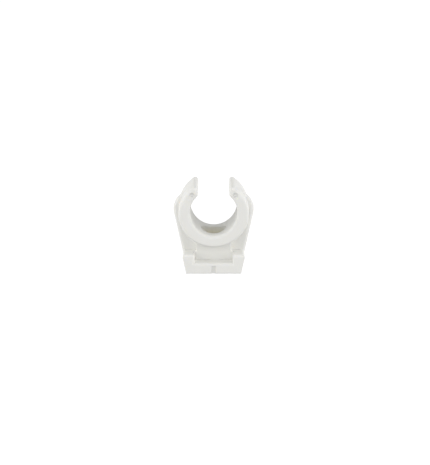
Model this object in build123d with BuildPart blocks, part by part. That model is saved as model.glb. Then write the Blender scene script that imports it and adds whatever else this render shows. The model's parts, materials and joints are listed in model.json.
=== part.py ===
"""Snap-in pipe clip, moulded in one piece: an open grip ring on a cored foot, fixed by one screw.

Millimetres. The origin is the middle of the foot's underside, which lies against the wall.
+Z points away from the wall, Y runs along the pipe and X across it. The front faces -Y.
"""

import os

from build123d import *

# Pipe and the ring that grips it
pipe_diameter = 15.0
pipe_clearance = 0.1
axis_height = 20.05
clip_depth = 15.6
ring_wall = 3.75
ring_edge_radius = 0.75

# Arms: their outer face is centred lower than the ring, so they thin towards their tips
arm_radius = 11.35
arm_drop = 1.0
throat_width = 10.0
tip_radius = 1.0
lip_radius = 0.8

# Web in the middle of the depth, with a shoulder each side of the ring
web_thickness = 2.4
shoulder_width = 25.9
shoulder_height = 19.8
shoulder_radius = 5.7
web_edge_chamfer = 0.6

# Foot, with a notch cored out of its front and its back
base_width = 17.7
foot_height = 6.2
notch_width = 12.3
notch_floor_height = 3.4
foot_edge_radius = 0.8

# Flat-sided neck between the notches, which carries the ring and the screw and flares into the foot
neck_thickness = 6.4
neck_flare_radius = 0.55
neck_ledge = 0.1

# Screw hole, sunk from inside the ring
screw_hole_diameter = 4.5
head_recess_diameter = 8.2
head_recess_depth = 2.6

# Moulding marks on the front: one low on the foot and a round one on each arm
mark_width = 1.2
mark_depth = 0.3
mark_height = 2.4
pin_mark_diameter = 1.4
pin_mark_depth = 0.3
pin_mark_reach = 9.15
pin_mark_angle = 41.0

# Derived sizes
bore_radius = pipe_diameter / 2 + pipe_clearance
bore_floor_height = axis_height - bore_radius
ring_outer_radius = bore_radius + ring_wall
arm_height = axis_height - arm_drop
shoulder_offset = shoulder_width / 2 - shoulder_radius
neck_width = notch_width - 2 * (neck_flare_radius + neck_ledge)
neck_top_height = bore_floor_height - ring_wall / 4
half_depth = clip_depth / 2

# Outline shared by the web and the foot: a hull round the arms, both shoulders and the base
with BuildSketch(Plane.XZ) as side_outline:
    with BuildLine():
        CenterArc((0, arm_height), arm_radius, 0, 360)
        for side in (-1, 1):
            CenterArc((side * shoulder_offset, shoulder_height), shoulder_radius, 0, 360)
        Line((-base_width / 2, 0), (base_width / 2, 0))
    make_hull()

# Grip ring: open at the top, with arms that end in rounded tips
with BuildPart() as grip_ring:
    with BuildSketch(Plane.XZ) as ring_profile:
        with Locations((0, axis_height)):
            Circle(ring_outer_radius)
        with Locations((0, arm_height)):
            Circle(arm_radius, mode=Mode.INTERSECT)
        with Locations((0, axis_height)):
            Circle(bore_radius, mode=Mode.SUBTRACT)
            Rectangle(
                throat_width,
                2 * ring_outer_radius,
                align=(Align.CENTER, Align.MIN),
                mode=Mode.SUBTRACT,
            )
        fillet(ring_profile.vertices().group_by(Axis.Y)[-1], tip_radius)
        fillet(ring_profile.vertices().sort_by_distance((0, axis_height))[:2], lip_radius)
    extrude(amount=half_depth, both=True)
    fillet(grip_ring.faces().filter_by(Axis.Y).edges(), ring_edge_radius)

# Web: the outline between the foot and the arms, ending inside the ring's wall and inside the foot
with BuildPart() as web:
    with BuildSketch(Plane.XZ) as web_profile:
        add(side_outline.sketch_local)
    extrude(amount=web_thickness / 2, both=True)
    chamfer(web.faces().filter_by(Axis.Y).edges(), web_edge_chamfer)
    with BuildSketch(Plane.XZ) as web_ends:
        with Locations((0, axis_height)):
            Circle(bore_radius + ring_wall / 2)
            Rectangle(
                throat_width + 4 * tip_radius,
                2 * ring_outer_radius,
                align=(Align.CENTER, Align.MIN),
            )
        Rectangle(shoulder_width, foot_height)
    extrude(amount=web_thickness, both=True, mode=Mode.SUBTRACT)

# Foot: the lower end of the outline at full depth, with the neck flaring out of it, less the notches
with BuildPart() as foot:
    with BuildSketch(Plane.XZ) as foot_profile:
        add(side_outline.sketch_local)
        Rectangle(
            2 * shoulder_width,
            foot_height,
            align=(Align.CENTER, Align.MIN),
            mode=Mode.INTERSECT,
        )
    extrude(amount=half_depth, both=True)
    with BuildSketch(Plane.XZ) as neck_profile:
        with Locations((0, foot_height)):
            Rectangle(neck_width, neck_top_height - foot_height, align=(Align.CENTER, Align.MIN))
    extrude(amount=neck_thickness / 2, both=True)
    neck_sides = foot.faces().filter_by(Axis.X)
    fillet(neck_sides.edges().group_by(Axis.Z)[0], neck_flare_radius)
    with BuildSketch(Plane.XY.offset(notch_floor_height)) as notch_plan:
        with Locations((0, -neck_thickness / 2)):
            Rectangle(notch_width, clip_depth, align=(Align.CENTER, Align.MAX))
        mirror(about=Plane.XZ)
    extrude(amount=foot_height, mode=Mode.SUBTRACT)
    levels = foot.faces().filter_by(Axis.Z).group_by(Axis.Z)
    ends = foot.faces().filter_by(Axis.Y).group_by(Axis.Y)
    slopes = foot.faces().sort_by(Axis.X)
    top_edges = levels[2].edges() - ends[1].edges() - ends[-2].edges()
    end_edges = ends[0].edges() + ends[-1].edges() - levels[0].edges()
    slope_edges = slopes[0].edges() + slopes[-1].edges()
    fillet(top_edges + (end_edges - slope_edges), foot_edge_radius)

# Whole clip: the three forms are one moulding, with the screw hole and the marks cut in it
with BuildPart() as pipe_clip:
    add(grip_ring.part)
    add(web.part)
    add(foot.part)
    with Locations((0, 0, axis_height)):
        CounterBoreHole(
            radius=screw_hole_diameter / 2,
            counter_bore_radius=head_recess_diameter / 2,
            counter_bore_depth=bore_radius + head_recess_depth,
        )
    with BuildSketch(Plane.XY) as foot_mark:
        with Locations((0, -half_depth)):
            Rectangle(mark_width, 2 * mark_depth)
    extrude(amount=mark_height, mode=Mode.SUBTRACT)
    with BuildSketch(Plane.XZ.offset(half_depth)) as pin_marks:
        with Locations((0, axis_height)):
            with PolarLocations(pin_mark_reach, 1, pin_mark_angle):
                Circle(pin_mark_diameter / 2)
        mirror(about=Plane.YZ)
    extrude(amount=-pin_mark_depth, mode=Mode.SUBTRACT)

pipe_clip.part.label = "pipe_clip"
os.makedirs("parts", exist_ok=True)
export_step(pipe_clip.part, "parts/pipe_clip.step")
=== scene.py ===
"""Dresses the pipe clip: milky moulded plastic on a pale floor, under soft studio light."""

import json
import math

import bpy
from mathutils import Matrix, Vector

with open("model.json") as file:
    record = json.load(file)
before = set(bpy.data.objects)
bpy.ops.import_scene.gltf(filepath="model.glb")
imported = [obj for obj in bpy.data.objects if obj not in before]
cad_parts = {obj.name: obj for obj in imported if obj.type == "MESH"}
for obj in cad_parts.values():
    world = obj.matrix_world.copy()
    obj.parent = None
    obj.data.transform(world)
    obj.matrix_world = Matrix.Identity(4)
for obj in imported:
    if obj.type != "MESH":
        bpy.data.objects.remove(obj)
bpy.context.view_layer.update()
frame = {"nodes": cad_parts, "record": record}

MM = 0.001
WHITE = (1, 1, 1, 1)
clip = frame["nodes"]["pipe_clip"]
mounts = {mount["name"]: mount for mount in frame["record"]["mounts"]}

# Camera: the photograph looks at the clip from the front and 15.5 degrees above
SENSOR_WIDTH = 36.0
LENS = 148.8
VIEW_DISTANCE = 624 * MM
VIEW_RISE = 15.5
VIEW_AIM = Vector((0.44, 0, 11.6)) * MM
NEAREST_SEEN = 0.01
FARTHEST_SEEN = 20

# Floor: it glows white, and light passes through it, so nothing lights the clip from below
FLOOR_HALF_SIZE = 3.0
FLOOR_GAP = 0.02 * MM
FLOOR_SHADE = (0.3, 0.3, 0.3, 1)
FLOOR_ROUGHNESS = 0.8
FLOOR_GLOW = 0.82

# Light: an even white room, with softboxes in front and to both sides
ROOM_STRENGTH = 0.6
SOFTBOX_DISTANCE = 0.8
SOFTBOXES = [
    # name, degrees right of the front, degrees above the floor, width, height, watts
    ("front", 0, 15, 0.5, 0.3, 0.3),
    ("left", -45, 25, 0.4, 0.4, 1.0),
    ("right", 45, 25, 0.4, 0.4, 0.9),
    ("far_left", -80, 15, 0.4, 0.4, 2.4),
    ("far_right", 80, 15, 0.4, 0.4, 2.6),
]

# Screw hole and the recess for the screw's head, sunk in the floor of the bore, where a warm
# painted shade is laid
HOLE_RADIUS = mounts["screw_hole"]["dims"]["r_mm"] * MM
RECESS_RADIUS = mounts["head_recess"]["dims"]["r_mm"] * MM
RECESS_FLOOR = mounts["screw_hole"]["dims"]["length_mm"] * MM
BORE_FLOOR = mounts["pipe_seat"]["pos_m"][2] - mounts["pipe_seat"]["dims"]["r_mm"] * MM
HOLE_MARGIN = 0.1 * MM

# Colour of the plastic: two cloudy tones, and tints that multiply them: painted shade, greyer along
# the rims and warmer in the screw hole and recess
THIN_TONE = (0.775, 0.772, 0.745, 1)
MILKY_TONE = (0.825, 0.822, 0.792, 1)
RIM_PAINTED_SHADE = (0.94, 0.94, 0.94, 1)
HOLE_PAINTED_SHADE = (1.05, 1.02, 0.9, 1)

# Skin of the plastic: size and detail of its noises, and how far they change it
CLOUD_SIZE = 6 * MM
CLOUD_DETAIL = 3
RIPPLE_SIZE = 3.5 * MM
RIPPLE_DETAIL = 1
RIPPLE_HEIGHT = 0.6
GRAIN_SIZE = 0.12 * MM
GRAIN_DETAIL = 2
GRAIN_HEIGHT = 0.1
SKIN_DEPTH = 0.05 * MM
SKIN_STRENGTH = 0.25
ROUGHNESS = 0.56
ROUGHNESS_SPREAD = 0.06
EDGE_RADIUS = 0.4 * MM
EDGE_SAMPLES = 8
PLASTIC_IOR = 1.49
PLASTIC_GLOSS = 0.2
SCATTER_WEIGHT = 0.2
SCATTER_COLOUR = (1.0, 0.95, 0.8)
SCATTER_DEPTH = 1.0 * MM


class Signal:
    """A shader socket. Arithmetic on it adds Math nodes to its tree."""

    def __init__(self, tree, socket=None):
        self.tree = tree
        self.socket = socket

    def node(self, kind, settings, inputs, output=0):
        """Adds a node of the given kind, with its settings and sockets, and returns one output."""
        made = self.tree.nodes.new(kind)
        for name, value in settings.items():
            setattr(made, name, value)
        for name, value in inputs.items():
            if isinstance(value, Signal):
                value.feed(made.inputs[name])
            else:
                made.inputs[name].default_value = value
        return Signal(self.tree, made.outputs[output])

    def feed(self, socket):
        self.tree.links.new(self.socket, socket)

    def math(self, operation, first, second):
        return self.node("ShaderNodeMath", {"operation": operation}, {0: first, 1: second})

    def __add__(self, other):
        return self.math("ADD", self, other)

    def __sub__(self, other):
        return self.math("SUBTRACT", self, other)

    def __rsub__(self, other):
        return self.math("SUBTRACT", other, self)

    def __mul__(self, other):
        return self.math("MULTIPLY", self, other)

    __radd__ = __add__
    __rmul__ = __mul__

    def part(self, axis):
        """One of a vector's parts: X, Y or Z."""
        return self.node("ShaderNodeSeparateXYZ", {}, {"Vector": self}, axis)

    def noise(self, size, detail):
        """Noise between 0 and 1, with features of about the given size."""
        inputs = {"Vector": self, "Scale": 1 / size, "Detail": detail}
        return self.node("ShaderNodeTexNoise", {}, inputs)

    def ramp(self, start, end):
        """Goes from 0 at start to 1 at end."""
        inputs = {"Value": self, "From Min": start, "From Max": end}
        return self.node("ShaderNodeMapRange", {}, inputs)

    def blend(self, first, second):
        """From the first colour to the second, as this value goes from 0 to 1."""
        inputs = {"Factor": self, "A": first, "B": second}
        return self.node("ShaderNodeMix", {"data_type": "RGBA"}, inputs, "Result")

    def tinted(self, tint, share):
        """This colour, multiplied by the tint where share is 1."""
        settings = {"data_type": "RGBA", "blend_type": "MULTIPLY"}
        inputs = {"Factor": share, "A": self, "B": tint}
        return self.node("ShaderNodeMix", settings, inputs, "Result")


def new_material(name, constants):
    """A material whose shader has the given constants. Returns it, its tree and its shader."""
    material = bpy.data.materials.new(name)
    material.use_nodes = True
    shader = material.node_tree.nodes["Principled BSDF"]
    for socket, value in constants.items():
        shader.inputs[socket].default_value = value
    return material, material.node_tree, shader


def rim_shade_share(facing):
    """1 in the middle of a rim, which turns from an end of the clip to a side, and 0 on both: where
    the rims' painted shade goes.
    """
    along_pipe = facing.part("Y")
    end_face = along_pipe * along_pipe
    return 4 * end_face * (1 - end_face)


def hole_shade_share(place):
    """0 at the bore's floor and 1 from the recess's floor down, inside the hole and recess only:
    where the hole's painted shade goes.
    """
    x, y, z = (place.part(axis) for axis in "XYZ")
    from_axis = x * x + y * y
    in_hole = from_axis.ramp((HOLE_RADIUS + HOLE_MARGIN) ** 2, HOLE_RADIUS**2)
    in_recess = from_axis.ramp((RECESS_RADIUS + HOLE_MARGIN) ** 2, RECESS_RADIUS**2)
    # The faces of the neck, lower down, are nearer to the axis than the recess's wall
    above_neck = z.ramp(RECESS_FLOOR - 2 * HOLE_MARGIN, RECESS_FLOOR - HOLE_MARGIN)
    return (in_recess * above_neck + in_hole) * z.ramp(BORE_FLOOR, RECESS_FLOOR)


def milky_plastic():
    """Natural moulded plastic: cloudy, with painted shade that is greyer along rims and yellower in
    the screw hole and recess, and a dull skin.
    """
    constants = {
        "IOR": PLASTIC_IOR,
        "Specular IOR Level": PLASTIC_GLOSS,
        "Subsurface Weight": SCATTER_WEIGHT,
        "Subsurface Radius": SCATTER_COLOUR,
        "Subsurface Scale": SCATTER_DEPTH,
    }
    material, tree, shader = new_material("milky_plastic", constants)
    place = Signal(tree).node("ShaderNodeTexCoord", {}, {}, "Object")
    facing = Signal(tree).node("ShaderNodeTexCoord", {}, {}, "Normal")
    cloud = place.noise(CLOUD_SIZE, CLOUD_DETAIL)
    ripple = place.noise(RIPPLE_SIZE, RIPPLE_DETAIL)
    grain = place.noise(GRAIN_SIZE, GRAIN_DETAIL)

    colour = cloud.blend(THIN_TONE, MILKY_TONE)
    # Painted shade: the rims are greyed to dull the highlight they catch
    colour = colour.tinted(RIM_PAINTED_SHADE, rim_shade_share(facing))
    # Painted shade: the screw hole and recess are tinted warm, as light bounced deep in the plastic
    # looks
    colour = colour.tinted(HOLE_PAINTED_SHADE, hole_shade_share(place))
    colour.feed(shader.inputs["Base Color"])

    roughness = ROUGHNESS + ROUGHNESS_SPREAD * cloud + ROUGHNESS_SPREAD * grain
    roughness.feed(shader.inputs["Roughness"])

    soft_edges = place.node("ShaderNodeBevel", {"samples": EDGE_SAMPLES}, {"Radius": EDGE_RADIUS})
    skin = {
        "Height": RIPPLE_HEIGHT * ripple + GRAIN_HEIGHT * grain,
        "Strength": SKIN_STRENGTH,
        "Distance": SKIN_DEPTH,
        "Normal": soft_edges,
    }
    place.node("ShaderNodeBump", {}, skin).feed(shader.inputs["Normal"])
    return material


def pale_floor():
    constants = {
        "Base Color": FLOOR_SHADE,
        "Roughness": FLOOR_ROUGHNESS,
        "Specular IOR Level": 0,
        "Emission Color": WHITE,
        "Emission Strength": FLOOR_GLOW,
    }
    material, _, _ = new_material("pale_floor", constants)
    return material


def add_floor():
    half = FLOOR_HALF_SIZE
    corners = [(-half, -half), (half, -half), (half, half), (-half, half)]
    mesh = bpy.data.meshes.new("floor")
    mesh.from_pydata([(x, y, -FLOOR_GAP) for x, y in corners], [], [(0, 1, 2, 3)])
    mesh.materials.append(pale_floor())
    floor = bpy.data.objects.new("floor", mesh)
    bpy.context.collection.objects.link(floor)
    floor.visible_diffuse = False
    floor.visible_shadow = False


def towards(turn, rise):
    """Direction from the clip: degrees to the right of its front, and degrees above the floor."""
    turn, rise = math.radians(turn), math.radians(rise)
    level = math.cos(rise)
    return Vector((math.sin(turn) * level, -math.cos(turn) * level, math.sin(rise)))


def add_aimed(name, data, turn, rise, distance):
    """Adds a light or camera that looks at the clip from the given direction and distance."""
    thing = bpy.data.objects.new(name, data)
    bpy.context.collection.objects.link(thing)
    direction = towards(turn, rise)
    thing.location = VIEW_AIM + distance * direction
    thing.rotation_euler = (-direction).to_track_quat("-Z", "Y").to_euler()
    return thing


def add_softbox(name, turn, rise, width, height, power):
    light = bpy.data.lights.new(name, "AREA")
    light.shape = "RECTANGLE"
    light.size = width
    light.size_y = height
    light.energy = power
    softbox = add_aimed(name, light, turn, rise, SOFTBOX_DISTANCE)
    softbox.visible_camera = False


def add_room():
    room = bpy.data.worlds.new("room")
    room.use_nodes = True
    background = room.node_tree.nodes["Background"]
    background.inputs["Color"].default_value = WHITE
    background.inputs["Strength"].default_value = ROOM_STRENGTH
    bpy.context.scene.world = room


def add_camera():
    camera = bpy.data.cameras.new("camera")
    camera.sensor_width = SENSOR_WIDTH
    camera.lens = LENS
    camera.clip_start = NEAREST_SEEN
    camera.clip_end = FARTHEST_SEEN
    bpy.context.scene.camera = add_aimed("camera", camera, 0, VIEW_RISE, VIEW_DISTANCE)


clip.material_slots[0].material = milky_plastic()
add_floor()
add_room()
for softbox in SOFTBOXES:
    add_softbox(*softbox)
add_camera()
bpy.context.scene.view_settings.view_transform = "Standard"
